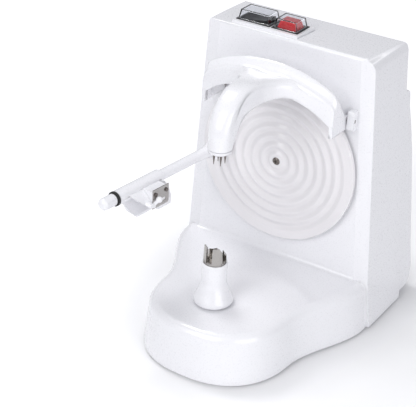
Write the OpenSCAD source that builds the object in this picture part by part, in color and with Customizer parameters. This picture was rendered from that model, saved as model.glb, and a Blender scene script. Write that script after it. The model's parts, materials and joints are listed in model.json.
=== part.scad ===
// Electric fruit peeler: a fruit turns on a spindle while a disc sweeps the blade round it.
// Millimetres. The floor is Z = 0, the front faces -Y, and +X is the machine's right.

/* [Housing] */
// Height of the tower's front top edge above the floor
tower_h = 220; // [200:1:240]
// Width of the tower at its top
tower_top_w = 140; // [136:1:150]
// Width of the tower where it meets the deck
tower_deck_w = 163; // [158:1:170]
// Width of the tower at the bottom edge of the housing
tower_foot_w = 173; // [170:1:180]
// Depth of the tower from its front wall to its back edge
tower_depth = 56; // [54:0.5:62]
// Distance from the disc's face back to the tower's front wall
wall_set = 6.4; // [6:0.1:7]
// Radius of the tower's right top corner
corner_r = 10; // [6:0.5:12]
// Radius of the tower's left top corner
left_corner_r = 3; // [2:0.5:6]
// Radius of the tower's front and back top edges
top_edge_r = 2.2; // [1:0.1:3]
// Fall of the tower's top from front to back
top_fall = 2.5; // [1:0.5:4]
// Width of the flat chamfer strip along each front edge of the tower
strip_w = 11; // [8:0.5:12]
// Depth of that chamfer strip
strip_d = 2.5; // [1.5:0.25:3]
// Wall of the moulded housing
wall_t = 3; // [2.5:0.25:3.5]

/* [Base] */
// Height of the deck above the floor
deck_h = 41; // [38:0.5:44]
// Distance from the disc's face to the front of the tongue at its top edge
tongue_reach = 123; // [118:0.5:128]
// Length of the rounded front stretch of the tongue
tongue_round = 57; // [50:1:60]
// Width of the tongue
tongue_w = 108; // [100:1:112]
// Squareness of the tongue's front, where 2 is an ellipse
tongue_power = 2.4; // [2:0.1:3]
// How far the tongue's middle lies to the right of the fruit's axis
tongue_side = 3; // [0:0.5:4]
// Distance in front of the disc where the sides start to widen
waist_start = 72; // [64:1:78]
// Growth of the base from its top edge down to its bottom edge
base_flare = 4.5; // [3:0.5:8]
// Radius of the deck's outer edge
deck_edge_r = 7; // [4:0.5:8]
// Radius of the fillet between the deck and the tower's wall
deck_fillet_r = 4; // [2:0.5:6]
// Thickness of the bottom cover
bottom_t = 3.5; // [3:0.25:4.5]
// Height of the rubber feet below the bottom cover
foot_h = 2; // [1.5:0.25:3]
// Diameter of a rubber foot
foot_d = 16; // [12:0.5:20]

/* [Rear cover] */
// Height of the rear cover's top above the floor
cover_top = 178; // [170:1:184]
// How far the rear cover stands out behind the tower
cover_bulge = 26; // [20:0.5:30]
// Wall of the rear cover
cover_t = 2.5; // [2:0.25:3]
// Number of vent slots in the rear cover
vent_count = 7; // [5:1:9]
// Pitch of the vent slots
vent_pitch = 7; // [6:0.5:8]

/* [Disc] */
// Height of the disc's centre above the deck
disc_above = 82.5; // [80:0.5:86]
// Diameter of the disc
disc_d = 130; // [124:1:132]
// Thickness of the disc's rim
disc_t = 4.6; // [4:0.1:4.8]
// Number of rings pressed into the disc
ripple_count = 7; // [5:1:9]
// Width of one ring
ripple_pitch = 7.6; // [6:0.1:7.8]
// Depth of the rings
ripple_deep = 1; // [0.5:0.1:1.4]
// Diameter of the disc's shaft
shaft_d = 8; // [7:0.5:9]

/* [Spindle] */
// Distance from the disc's face forward to the fruit's axis
fruit_axis = 82; // [80:0.5:86]
// Diameter of the spindle's flared foot
flare_d = 29.6; // [26:0.2:32]
// Diameter of the spindle's neck
neck_d = 19; // [17:0.2:20]
// Height of the neck's top above the deck
neck_top = 29.6; // [27:0.2:32]
// Gap between the flared foot and the deck
flare_gap = 1.4; // [1:0.1:2]
// Outer diameter of the steel cup's prong ring
cup_d = 16; // [15:0.25:18]
// Height of the prongs above the neck
cup_h = 19; // [14:0.5:21]
// Width of the slots between the prongs
cup_slot = 5; // [3:0.5:6]

/* [Upper arm] */
// Width of the arm across its two ends
arm_w = 110; // [106:1:112]
// Height of the arch's top above the disc's centre
arch_top = 87.5; // [85:0.5:90]
// Height of the arch's underside above the disc's centre, in the middle
arch_under = 67; // [66:0.5:69]
// Height of that underside beside the arm's two ends
band_under = 51; // [49:0.5:53]
// Height of the two end walls' lower edges
end_under = 43; // [42:0.5:45]
// Thickness of the two end walls
end_wall = 2.8; // [2.4:0.1:3.2]
// Thickness of the arm's moulded wall
arm_wall = 2.4; // [2:0.1:3]
// Height of the hinge axis above the disc's centre
hinge_up = 49.5; // [48.5:0.5:51]
// Distance of the hinge axis behind the disc's face
hinge_back = 2.6; // [2.3:0.1:2.8]
// Diameter of the hinge pins
hinge_pin_d = 3; // [2.5:0.25:3]
// Width of each hinge lug
lug_w = 5; // [4.5:0.5:6]
// Height of each hinge lug
lug_h = 15; // [14:0.5:18]
// Diameter of the nose at its tip
nose_d = 17.5; // [16:0.5:19]
// Radius of the nose's bend
nose_bend = 25; // [22:0.5:27]
// Height of the nose's end above the disc's centre
nose_end = 44; // [42:0.5:47]

/* [Blade arm] */
// Distance of the blade arm's hinge from the disc's centre
root_side = 47; // [45:0.5:50]
// Distance of that hinge in front of the disc's face
root_out = 12; // [11:0.5:13]
// Height of the blade arm's bar above the disc's centre
bar_up = 2.5; // [1:0.5:4]
// Length of the bar from its hinge
bar_len = 112; // [108:0.5:116]
// Diameter of the bar
bar_d = 8; // [7:0.25:9]
// Outward slant of the bar, in degrees
bar_slant = 6.3; // [5:0.1:8]
// Diameter of the end knob
knob_d = 9; // [8.5:0.25:12]
// Length of the end knob
knob_len = 13; // [12:0.5:18]
// Radius of the peel hood
hood_r = 14; // [13:0.25:15]
// Length of the peel hood
hood_len = 44; // [40:0.5:48]
// Length of the blade along the bar
blade_len = 17; // [14:0.5:19]
// Height of the blade
blade_h = 15.5; // [13:0.5:17]
// Thickness of the blade
blade_t = 0.7; // [0.5:0.1:1]

/* [Switches] */
// Width of the bezel plate
bezel_w = 57.5; // [55:0.5:60]
// Depth of the bezel plate
bezel_d = 27.5; // [25:0.5:29]
// Height of the bezel plate above the tower's top
bezel_h = 1.5; // [1:0.1:2]
// Width of the power switch
power_w = 27; // [25:0.5:28]
// Width of the start button
start_w = 20; // [18:0.5:21]
// Depth of both switches
switch_d = 17; // [15:0.5:18]
// Height of the clear covers above the bezel
clear_h = 7.5; // [7:0.25:9]
// Wall of the clear covers
clear_t = 0.8; // [0.6:0.1:1]
// Stroke of the start button
start_stroke = 2; // [1.5:0.25:2.25]
// Angle between the rocker's two positions
rocker_angle = 14; // [10:1:16]

/* [Drive] */
// Diameter of the belt pulleys
pulley_d = 26; // [22:0.5:28]
// Width of the belt
belt_w = 6; // [5:0.5:7]
// Thickness of the belt
belt_t = 1.5; // [1.2:0.1:2]
// Diameter of the vertical drive shaft
drive_d = 6; // [5:0.5:7]
// Diameter of the motor
motor_d = 34; // [30:0.5:36]
// Length of the motor
motor_len = 46; // [40:1:50]
// Width of the gearbox
gearbox_w = 92; // [88:1:96]
// Height of the gearbox
gearbox_h = 58; // [54:1:62]
// Depth of the gearbox
gearbox_d = 34; // [32:0.5:36]

/* [Fits] */
// Radial clearance of a shaft that turns in a bore
run_fit = 0.05; // [0.03:0.01:0.08]
// Gap between parts that move past each other
pass_gap = 0.4; // [0.3:0.05:0.6]
// Play round a part that is set in an opening
set_gap = 0.3; // [0.2:0.05:0.5]

/* [Hidden] */

// Smoothness of round features and of rounded hulls
$fn = 48;
soft_fn = 28;

// Thin overlap that makes one solid of two, or clears a cut
eps = 0.01;

// Heights above the floor
bottom_z = foot_h;
shell_z = bottom_z + bottom_t;
disc_z = deck_h + disc_above;
hinge_z = disc_z + hinge_up;
back_h = tower_h - top_fall;

// Depths behind the disc's face
wall_back = wall_set + wall_t;
tower_back = wall_set + tower_depth;
cover_back = tower_back + cover_bulge;

// Reach of the blade arm's knob in front of the disc's face
washer_t = 1.4;
knob_start = bar_len + washer_t;
knob_end = knob_start + knob_len;
front_reach = root_out + knob_end * cos(bar_slant) + knob_d / 2 * sin(bar_slant);

// The origin lies under the middle of the whole length
disc_y = (front_reach - cover_back) / 2;
module placed() translate([0, disc_y, 0]) children();

function smooth(t) = let (u = min(1, max(0, t))) u * u * (3 - 2 * u);
function mix(a, b, t) = a + (b - a) * t;
function tower_half(z) = mix(tower_deck_w, tower_top_w, (z - deck_h) / (tower_h - deck_h)) / 2;

// Joins rings of equal point counts into one closed skin. Each ring runs anticlockwise, seen from
// the end where the rings start
module skin(rings) {
    n = len(rings[0]);
    m = len(rings);
    sides = [for (j = [0:m - 2]) for (i = [0:n - 1]) let (a = j * n + i, b = j * n + (i + 1) % n) each
        [[b + n, b, a], [a + n, b + n, a]]];
    first = [for (i = [0:n - 1]) i];
    last = [for (i = [n - 1:-1:0]) (m - 1) * n + i];
    polyhedron(points = [for (ring = rings) each ring], faces = concat(sides, [first], [last]),
        convexity = 8);
}

// Half width of the base's top outline at a distance y behind the disc's face
base_join = 5;
base_half = tower_deck_w / 2 - 1;
round_start = tongue_round - tongue_reach;
function side_half(y) = mix(tongue_w / 2, base_half,
    smooth((y + waist_start) / (waist_start + base_join)));

// Right half of the base's top outline, from the front to the back
function base_right() = concat(
    [for (a = [84:-6:6]) [tongue_w / 2 * pow(cos(a), 2 / tongue_power),
        round_start - tongue_round * pow(sin(a), 2 / tongue_power)]],
    [for (i = [0:11]) let (y = mix(round_start, base_join, i / 11)) [side_half(y), y]],
    [[base_half, tower_back - 12]]);
function side_shift(y) = tongue_side * (1 - smooth((y + waist_start) / (waist_start + base_join)));
function base_outline() = let (right = base_right(), n = len(right)) concat(
    [[tongue_side, -tongue_reach]], [for (p = right) [p[0] + side_shift(p[1]), p[1]]],
    [for (i = [n - 1:-1:0]) [side_shift(right[i][1]) - right[i][0], right[i][1]]]);

// The same outline moved outwards by d along its normals
function grown(outline, d) = let (n = len(outline)) [for (i = [0:n - 1])
    let (a = outline[(i + n - 1) % n], b = outline[(i + 1) % n], t = (b - a) / norm(b - a))
    [outline[i][0] + t[1] * d, outline[i][1] - t[0] * d]];
function flare_at(z) = base_flare * (1 - z / deck_h);
function ring_at(outline, z) = [for (p = outline) [p[0], p[1], z]];

// Outer form of the base with its rounded top edge, grown by d and cut off at the height low
module base_form(d, low, high) {
    r = deck_edge_r + d;
    outline = base_outline();
    straight = high - r;
    rings = concat(
        [ring_at(grown(outline, flare_at(low) + d), low)],
        [for (a = [0:15:90]) ring_at(grown(outline,
            flare_at(straight) + d - r * (1 - cos(a))), straight + r * sin(a))]);
    skin(rings);
}

// Front view of the tower, inset by d, extruded from y0 to y1
module tower_front_form(d, y0, y1) {
    low = shell_z - (d > 0 ? 8 : 0);
    foot = mix(tower_foot_w, tower_deck_w, (low - shell_z) / (deck_h - shell_z)) / 2 - d;
    deck = tower_deck_w / 2 - d;
    top = tower_top_w / 2 - d;
    up = tower_h - d;
    rr = max(0.5, corner_r - d);
    rl = max(0.5, left_corner_r - d);
    translate([0, y1, 0]) rotate([90, 0, 0]) linear_extrude(height = y1 - y0) polygon(concat(
        [[-foot, low], [foot, low], [deck, deck_h]],
        [for (a = [0:10:90]) [top - rr + rr * cos(a), up - rr + rr * sin(a)]],
        [for (a = [90:15:180]) [-top + rl + rl * cos(a), up - rl + rl * sin(a)]],
        [[-deck, deck_h]]));
}

// Side view of the tower, inset by d, extruded across its width
module tower_side_form(d, low) {
    y0 = wall_set + d;
    y1 = tower_back - d;
    r = max(0.5, top_edge_r - d);
    up0 = tower_h - d;
    up1 = back_h - d;
    translate([-tower_foot_w, 0, 0]) rotate([90, 0, 90]) linear_extrude(height = 2 * tower_foot_w)
        polygon(concat([[y0, low]], [[y1, low]],
            [for (a = [0:15:90]) [y1 - r + r * cos(a), up1 - r + r * sin(a)]],
            [for (a = [90:15:180]) [y0 + r + r * cos(a), up0 - r + r * sin(a)]]));
}

// Wedge that leaves the chamfer strip along the right front edge of the tower
module strip_cut() {
    lean = atan((tower_deck_w - tower_top_w) / 2 / (tower_h - deck_h));
    translate([tower_half(deck_h), wall_set, deck_h]) rotate([0, -lean, 0])
        translate([0, 0, -2 * deck_h]) linear_extrude(height = tower_h + 2 * deck_h)
            polygon([[-strip_w, -eps], [-strip_w, 0], [0, strip_d], [3, strip_d], [3, -eps]]);
}

// Openings in the tower's top for the two switches
bezel_x = -23.5;
bezel_y = wall_set + 17.5;
power_x = bezel_x - bezel_w / 2 + 3 + power_w / 2;
start_x = bezel_x + bezel_w / 2 - 4 - start_w / 2;
body_drop = 20;
module switch_hole(x, w, gap, z0, z1) {
    translate([x - w / 2 - gap, bezel_y - switch_d / 2 - gap, z0])
        cube([w + 2 * gap, switch_d + 2 * gap, z1 - z0]);
}

// Bushes and the bosses that hold them
bush_d = shaft_d + 6;
boss_d = bush_d + 8;
bush_len = 13;
bush_rim_d = bush_d + 4;
bush_rim_t = 1;
spindle_boss = deck_h - wall_t - 11;

// Front and middle of the gearbox, measured behind the disc's face
gearbox_y = wall_set - bush_rim_t + bush_len + 0.6;
gearbox_mid = gearbox_y + gearbox_d / 2;

// Screw posts under the deck and screws at the edges of the back opening
post_d = 8;
screw_d = 3;
side_post = tower_deck_w / 2 - 5.5;
post_spots = [[-40, -88], [40, -88], [-side_post, 30], [side_post, 30]];
back_margin = 12;
cover_spots = [for (z = [deck_h + 4, cover_top - 28]) for (s = [-1, 1])
    [s * (tower_half(z) - back_margin / 2 - 0.5), z]];
lug_gap = 0.8;
lug_x = arm_w / 2 + lug_gap + lug_w / 2;
lug_spots = [for (s = [-1, 1]) for (z = [-1, 1]) [s * lug_x, hinge_z + z * (lug_h / 2 - 2.7)]];

// Opening in the tower's back, inset by d, from the height low up
function open_half(z) = tower_half(z) - back_margin;
module back_opening(d, low) polygon([[d - open_half(low), low], [open_half(low) - d, low],
    [open_half(cover_top) - d, cover_top - 8 - d], [d - open_half(cover_top), cover_top - 8 - d]]);

module housing() color([0.93, 0.93, 0.95]) placed() difference() {
    union() {
        difference() {
            union() {
                difference() {
                    intersection() {
                        tower_front_form(0, wall_set, tower_back);
                        tower_side_form(0, shell_z);
                    }
                    strip_cut();
                    mirror([1, 0, 0]) strip_cut();
                }
                base_form(0, shell_z, deck_h);
                deck_fillet();
            }
            base_form(-wall_t, shell_z - eps, deck_h - wall_t);
            intersection() {
                tower_front_form(wall_t, wall_back, tower_back - wall_t);
                tower_side_form(wall_t, 0);
            }
            translate([0, tower_back + eps, 0]) rotate([90, 0, 0]) linear_extrude(height = wall_t + 2)
                back_opening(0, 0);
        }
        translate([0, wall_back - eps, disc_z]) rotate([-90, 0, 0])
            cylinder(d = boss_d, h = bush_len - wall_t - bush_rim_t);
        translate([0, -fruit_axis, spindle_boss]) cylinder(d = boss_d, h = deck_h - spindle_boss - 1);
        for (p = post_spots) translate([p[0], p[1], shell_z + set_gap])
            cylinder(d = post_d, h = deck_h - shell_z - 1.5);
        for (p = gearbox_spots) translate([p[0], wall_back - eps, p[1]]) rotate([-90, 0, 0])
            cylinder(d = post_d, h = gearbox_y - wall_back);
        for (p = board_spots) translate([p[0], wall_back - eps, p[1]]) rotate([-90, 0, 0])
            cylinder(d = board_post_d, h = board_y - wall_back);
    }
    for (p = gearbox_spots) translate([p[0], wall_back + 1, p[1]]) rotate([-90, 0, 0])
        cylinder(d = screw_d, h = 30);
    for (p = cover_spots) translate([p[0], tower_back - 10, p[1]]) rotate([-90, 0, 0])
        cylinder(d = screw_d, h = 20);
    translate([0, wall_set - 1, disc_z]) rotate([-90, 0, 0]) cylinder(d = bush_d, h = 30);
    translate([0, -fruit_axis, 0]) cylinder(d = bush_d, h = deck_h + 1);
    for (p = post_spots) translate([p[0], p[1], 0]) cylinder(d = screw_d, h = shell_z + 14);
    switch_hole(power_x, power_w, set_gap, tower_h - 12, tower_h + 5);
    switch_hole(start_x, start_w, set_gap, tower_h - 12, tower_h + 5);
    for (p = lug_spots) translate([p[0], 0, p[1]]) rotate([-90, 0, 0])
        cylinder(d = screw_d, h = wall_back + 1);
}

// Hollow fillet where the deck runs up into the tower's wall
module deck_fillet() {
    r = deck_fillet_r;
    half = tower_half(deck_h) - strip_w;
    translate([-half, wall_set, deck_h]) rotate([90, 0, 90]) linear_extrude(height = 2 * half)
        polygon(concat([[1, -1], [1, r]], [for (a = [0:15:90]) [-r + r * cos(a), r - r * sin(a)]],
            [[-r, -1]]));
}

module bottom_cover() color([0.9, 0.9, 0.92]) placed() difference() {
    union() {
        bottom_plate(0, bottom_z, shell_z);
        translate([0, -fruit_axis, shell_z - 1]) cylinder(d = bush_d, h = step_top - shell_z + 1);
    }
    translate([0, -fruit_axis, step_floor]) cylinder(r = shaft_d / 2 + run_fit, h = 20);
    for (p = post_spots) translate([p[0], p[1], 0]) {
        cylinder(d = screw_d + 0.4, h = 12);
        cylinder(d = 2 * screw_d + 0.6, h = bottom_z + 1.8);
    }
    for (p = foot_spots) translate([p[0], p[1], bottom_z - eps]) cylinder(d = foot_d - 6, h = 1.2);
}

// Footprint of the whole machine, inset by d, between two heights
module bottom_plate(d, z0, z1) {
    front = grown(base_outline(), flare_at(z1) - d);
    back = tower_foot_w / 2 - d;
    translate([0, 0, z0]) linear_extrude(height = z1 - z0) union() {
        polygon(front);
        translate([-back, wall_set + strip_d + d]) square([2 * back, tower_depth - strip_d - 2 * d]);
    }
}
step_floor = shell_z + 0.5;
step_top = shell_z + 6;

foot_spots = [[-34, -98], [34, -98], [-66, 46], [66, 46]];
module rubber_feet() color([0.12, 0.12, 0.12]) placed() for (p = foot_spots) translate([p[0], p[1], 0]) {
    rotate_extrude() polygon([[0, 0], [foot_d / 2 - 1.2, 0], [foot_d / 2, 1.2], [foot_d / 2, foot_h],
        [0, foot_h]]);
    translate([0, 0, foot_h - eps]) cylinder(d = foot_d - 6.4, h = 1.1);
}

// A pan-headed screw with its head down at z = 0 and its shank up
module screw(len) {
    rotate_extrude() polygon([[0, 0], [screw_d * 0.7, 0], [screw_d, 0.7], [screw_d, 1.7],
        [screw_d / 2 - 0.1, 1.7], [screw_d / 2 - 0.1, len], [0, len]]);
}
module bottom_screws() color("silver") placed()
    for (p = post_spots) translate([p[0], p[1], bottom_z + 0.1]) screw(15);

// Side view of the rear cover's bulging back, inset by d
function cover_side(d) = let (y = tower_back - d, b = cover_bulge, t = cover_top - d, low = shell_z + d,
    start = tower_back - (d > 0 ? 1 : 0)) concat(
    [[start, low], [y + b * 0.5, low]],
    [for (a = [-75:15:0]) [y + b - 12 + 12 * cos(a), low + 16 + 16 * sin(a)]],
    [[y + b, deck_h - 1], [y + b * 0.96, deck_h + 12], [y + b * 0.85, disc_z - 40], [y + b * 0.7, disc_z],
     [y + b * 0.52, disc_z + 24], [y + b * 0.36, disc_z + 40]],
    [for (a = [0:30:90]) [y + b * 0.34 - 5 + 5 * cos(a), t - 5 + 5 * sin(a)]],
    [[start, t]]);
cover_set = 1.2;
function cover_half(z) = (z > deck_h ? tower_half(z) : tower_foot_w / 2) - cover_set;
module cover_form(d) intersection() {
    translate([-tower_foot_w, 0, 0]) rotate([90, 0, 90]) linear_extrude(height = 2 * tower_foot_w)
        polygon(cover_side(d));
    translate([0, cover_back + 1, 0]) rotate([90, 0, 0]) linear_extrude(height = cover_bulge + 5)
        polygon([[d - cover_half(0), 0], [cover_half(0) - d, 0], [cover_half(deck_h + eps) - d, deck_h],
            [cover_half(cover_top) - d, cover_top], [d - cover_half(cover_top), cover_top],
            [d - cover_half(deck_h + eps), deck_h]]);
}
inlet_x = 50;
inlet_z = 30;
inlet_d = 11;
head_seat = 4;
vent_z = disc_z - 60;
module rear_cover() color([0.91, 0.91, 0.93]) placed() difference() {
    union() {
        difference() {
            cover_form(0);
            cover_form(cover_t);
        }
        intersection() {
            cover_form(0);
            for (p = cover_spots) translate([p[0], tower_back, p[1]]) rotate([-90, 0, 0])
                cylinder(d = back_margin + 1, h = cover_bulge);
        }
        translate([0, tower_back + 1, 0]) rotate([90, 0, 0]) linear_extrude(height = wall_t + 1)
            difference() {
                back_opening(set_gap, shell_z + 3);
                back_opening(set_gap + 2, shell_z + 5);
            }
    }
    for (i = [0:vent_count - 1]) vent_slot(vent_z + i * vent_pitch);
    for (p = cover_spots) translate([p[0], tower_back - 5, p[1]]) rotate([-90, 0, 0]) {
        cylinder(d = screw_d + 0.4, h = 30);
        translate([0, 0, 5 + head_seat]) cylinder(d = 2 * screw_d + 1, h = 2 * cover_bulge);
    }
    translate([inlet_x, cover_back - 8, inlet_z]) rotate([-90, 0, 0]) cylinder(d = inlet_d, h = 20);
}

// A vent slot with round ends through the rear cover's back
vent_w = 50;
vent_h = 3;
module vent_slot(z) {
    translate([-vent_w / 2, tower_back + 6, z - vent_h / 2]) cube([vent_w, cover_bulge, vent_h]);
    for (s = [-1, 1]) translate([s * vent_w / 2, tower_back + 6, z]) rotate([-90, 0, 0])
        cylinder(d = vent_h, h = cover_bulge);
}

module cover_screws() color("silver") placed()
    for (p = cover_spots) translate([p[0], tower_back + head_seat + 1.7, p[1]]) rotate([90, 0, 0]) screw(9);

module power_inlet() color([0.1, 0.1, 0.1]) placed()
    translate([inlet_x, cover_back - cover_t - 5, inlet_z]) rotate([-90, 0, 0]) difference() {
        union() {
            cylinder(d = inlet_d - 0.4, h = cover_t + 4.8);
            cylinder(d = inlet_d + 4, h = 4.6);
        }
        translate([0, 0, 2]) cylinder(d = 6, h = 20);
        translate([0, 0, 0]) cylinder(d = 2, h = 5);
    }

module switch_bezel() color([0.97, 0.97, 0.97]) placed() difference() {
    intersection() {
        tilt_prism(bezel_w, bezel_d, tower_h - 3, tower_h + bezel_h, 1);
        translate([bezel_x - bezel_w, 0, tower_h - 3]) cube([2 * bezel_w, 100, 10]);
    }
    tower_side_form(0, 0);
    switch_hole(power_x, power_w, set_gap, tower_h - 8, tower_h + 5);
    switch_hole(start_x, start_w, set_gap, tower_h - 8, tower_h + 5);
}

// A block round the bezel's middle whose four sides lean in by lean at the top
module tilt_prism(w, d, z0, z1, lean) translate([bezel_x, bezel_y, 0]) lean_block(w, d, z0, z1, lean);
module lean_block(w, d, z0, z1, lean) intersection() {
    translate([0, d, 0]) rotate([90, 0, 0]) linear_extrude(height = 2 * d)
        polygon([[-w / 2, z0], [w / 2, z0], [w / 2 - lean, z1], [lean - w / 2, z1]]);
    translate([-w, 0, 0]) rotate([90, 0, 90]) linear_extrude(height = 2 * w)
        polygon([[-d / 2, z0], [d / 2, z0], [d / 2 - lean, z1], [lean - d / 2, z1]]);
}

// A switch body that drops through the tower's top, with a flange that rests on the bezel
flange_w = 1;
flange_t = 0.6;
pocket = 2;
flange_z = tower_h + bezel_h;
module switch_body(x, w) difference() {
    union() {
        switch_hole(x, w, 0, tower_h - body_drop, flange_z + eps);
        switch_hole(x, w, flange_w, flange_z, flange_z + flange_t);
        for (s = [-1, 1]) translate([x + s * w / 4 - 2.4, bezel_y - 0.4, tower_h - body_drop - 5])
            cube([4.8, 0.8, 6]);
    }
    translate([x - w / 2 + pocket, bezel_y - switch_d / 2 + pocket, tower_h - 9])
        cube([w - 2 * pocket, switch_d - 2 * pocket, 20]);
}

// Clear cover that stands on a switch body's flange
module clear_cover(x, w) translate([x, bezel_y, 0]) difference() {
    lean_block(w - 0.6, switch_d - 0.6, flange_z + flange_t, flange_z + clear_h, 1.2);
    lean_block(w - 0.6 - 2 * clear_t, switch_d - 0.6 - 2 * clear_t, flange_z + flange_t - eps,
        flange_z + clear_h - clear_t, 1.2);
}

pivot_d = 2;
pivot_z = flange_z - 1.5;
module power_switch_body() color([0.08, 0.08, 0.08]) placed() difference() {
    switch_body(power_x, power_w);
    translate([power_x, bezel_y - switch_d / 2 + 0.6, pivot_z]) rotate([-90, 0, 0])
        cylinder(r = pivot_d / 2 + run_fit, h = switch_d - 1.2);
}
module power_rocker() color([0.05, 0.05, 0.05]) placed() translate([power_x, bezel_y, pivot_z])
    rotate([0, -rocker_angle / 2, 0]) {
        length = power_w - 2 * pocket - 2 * pass_gap;
        depth = switch_d - 2 * pocket - 2 * pass_gap;
        translate([0, depth / 2, 0]) rotate([90, 0, 0]) linear_extrude(height = depth) polygon([
            [-length / 2, 0.5], [-length / 2, 3.6], [-length / 4, 3], [0, 2.6], [length / 4, 3],
            [length / 2, 3.6], [length / 2, 0.5], [length / 4, -2.5], [-length / 4, -2.5]]);
        translate([0, -switch_d / 2 + 0.8, 0]) rotate([-90, 0, 0]) cylinder(d = pivot_d, h = switch_d - 1.6);
    }
module power_switch_cover() color([0.8, 0.85, 0.9, 0.4]) placed() clear_cover(power_x, power_w);

module start_button_body() color([0.08, 0.08, 0.08]) placed() switch_body(start_x, start_w);
module start_button() color([0.8, 0.05, 0.08]) placed() translate([start_x, bezel_y, 0]) {
    w = start_w - 2 * pocket - 2 * pass_gap;
    d = switch_d - 2 * pocket - 2 * pass_gap;
    lean_block(w, d, flange_z + flange_t, flange_z + clear_h - clear_t - 0.8, 1.6);
    translate([-w / 2, -d / 2, tower_h - 9 + start_stroke + 0.5])
        cube([w, d, flange_z + flange_t + eps - tower_h + 9 - start_stroke - 0.5]);
}
module start_button_cover() color([0.8, 0.85, 0.9, 0.4]) placed() clear_cover(start_x, start_w);

// Height of the disc's rippled front at radius r, from its crests down
ripple_from = 5;
function ripple(r) = let (t = (r - ripple_from) / ripple_pitch)
    t < 0 || t > ripple_count ? 0 : ripple_deep * (1 - cos(360 * t)) / 2;
module disc() color([0.9, 0.89, 0.91]) placed() translate([0, 0, disc_z]) rotate([90, 0, 0]) difference() {
    rotate_extrude($fn = 96) polygon(concat([[0, -disc_t], [disc_d / 2 - 0.8, -disc_t],
        [disc_d / 2, -disc_t + 0.8], [disc_d / 2, -0.8], [disc_d / 2 - 0.8, 0]],
        [for (i = [ripple_count * 8:-1:0]) let (r = ripple_from + i * ripple_pitch / 8) [r, -ripple(r)]],
        [[0, 0]]));
    translate([0, 0, -disc_t - 1]) cylinder(r = shaft_d / 2 + run_fit, h = 1 + disc_t - disc_web);
    translate([0, 0, -disc_t - 1]) cylinder(d = screw_d + 0.4, h = disc_t + 2);
    translate([0, 0, -disc_seat]) cylinder(d = head_d + 0.4, h = 5);
    for (s = [-1, 1]) translate([-root_side, bar_up + s * bracket_h / 4, -disc_t - 1])
        cylinder(d = 2, h = disc_t + 2);
}
disc_web = 2.4;
disc_seat = 1;
head_d = 2 * screw_d;

module disc_screw() color([0.3, 0.28, 0.28]) placed() translate([0, -1.7 + disc_seat, disc_z])
    rotate([-90, 0, 0]) difference() {
        screw(14);
        for (a = [0, 90]) rotate([0, 0, a]) translate([-1.8, -0.4, -eps]) cube([3.6, 0.8, 1]);
    }
shaft_end = gearbox_y + 22;
module disc_shaft() color("silver") placed() translate([0, disc_web, disc_z])
    rotate([-90, 0, 0]) difference() {
    cylinder(d = shaft_d, h = shaft_end - disc_web);
    translate([0, 0, -eps]) cylinder(d = screw_d, h = 16);
}
module bush(bore) {
    difference() {
        union() {
            cylinder(d = bush_d - 0.1, h = bush_len);
            cylinder(d = bush_rim_d, h = bush_rim_t);
        }
        translate([0, 0, -1]) cylinder(r = bore / 2 + run_fit, h = bush_len + 2);
    }
}
module disc_bush() color([0.2, 0.2, 0.22]) placed() translate([0, wall_set - bush_rim_t, disc_z])
    rotate([-90, 0, 0]) bush(shaft_d);
module spindle_bush() color([0.2, 0.2, 0.22]) placed() translate([0, -fruit_axis, deck_h + bush_rim_t])
    mirror([0, 0, 1]) bush(shaft_d);

// The blade arm's own frame: its hinge at the origin and its bar along -Y, slanting outwards
module arm_frame() translate([-root_side, -root_out, disc_z + bar_up]) rotate([0, 0, -bar_slant]) children();
eye_d = 11;
eye_h = 9;
fork_t = 3;
hinge_d = 4;
bracket_h = eye_h + 2 * pass_gap + 2 * fork_t;
bracket_w = 15;
module blade_bracket() color([0.88, 0.88, 0.9]) placed()
    translate([-root_side, 0, disc_z + bar_up]) difference() {
    union() {
        translate([-bracket_w / 2, -2.5, -bracket_h / 2]) cube([bracket_w, 2.5, bracket_h]);
        for (s = [-1, 1]) translate([0, 0, s * (bracket_h - fork_t) / 2 - fork_t / 2])
            linear_extrude(height = fork_t)
            union() {
                translate([0, -root_out]) circle(d = eye_d - 1);
                translate([-(eye_d - 1) / 2, -root_out]) square([eye_d - 1, root_out - 2]);
            }
    }
    translate([0, -root_out, -bracket_h]) cylinder(d = hinge_d, h = 2 * bracket_h);
    for (s = [-1, 1]) translate([0, 1, s * bracket_h / 4]) rotate([90, 0, 0]) cylinder(d = 2, h = 3);
}
module blade_hinge_pin() color("silver") placed() translate([-root_side, -root_out, disc_z + bar_up]) {
    translate([0, 0, -bracket_h / 2 - 0.5]) cylinder(d = hinge_d - 0.04, h = bracket_h + 0.5);
    translate([0, 0, bracket_h / 2]) cylinder(d = hinge_d + 2.5, h = 1.4);
}
neck_u = 22;
module blade_arm() color([0.94, 0.94, 0.95]) placed() arm_frame() difference() {
    union() {
        translate([0, -neck_u + 1, 0]) rotate([90, 0, 0]) cylinder(d = bar_d, h = bar_len - neck_u + 1);
        translate([0, -bar_len + 1, 0]) rotate([90, 0, 0]) cylinder(d = 5, h = 11);
        hull() {
            translate([0, 0, -eye_h / 2]) cylinder(d = eye_d, h = eye_h, $fn = soft_fn);
            translate([0, -11, 0]) rotate([90, 0, 0]) cylinder(d = eye_h, h = 1, $fn = soft_fn);
        }
        hull() {
            translate([0, -11, 0]) rotate([90, 0, 0]) cylinder(d = eye_h, h = 1, $fn = soft_fn);
            translate([0, -neck_u, 0]) rotate([90, 0, 0]) cylinder(d = bar_d, h = 1, $fn = soft_fn);
        }
    }
    translate([0, 0, -eye_h]) cylinder(r = hinge_d / 2 + run_fit, h = 2 * eye_h);
}

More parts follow.
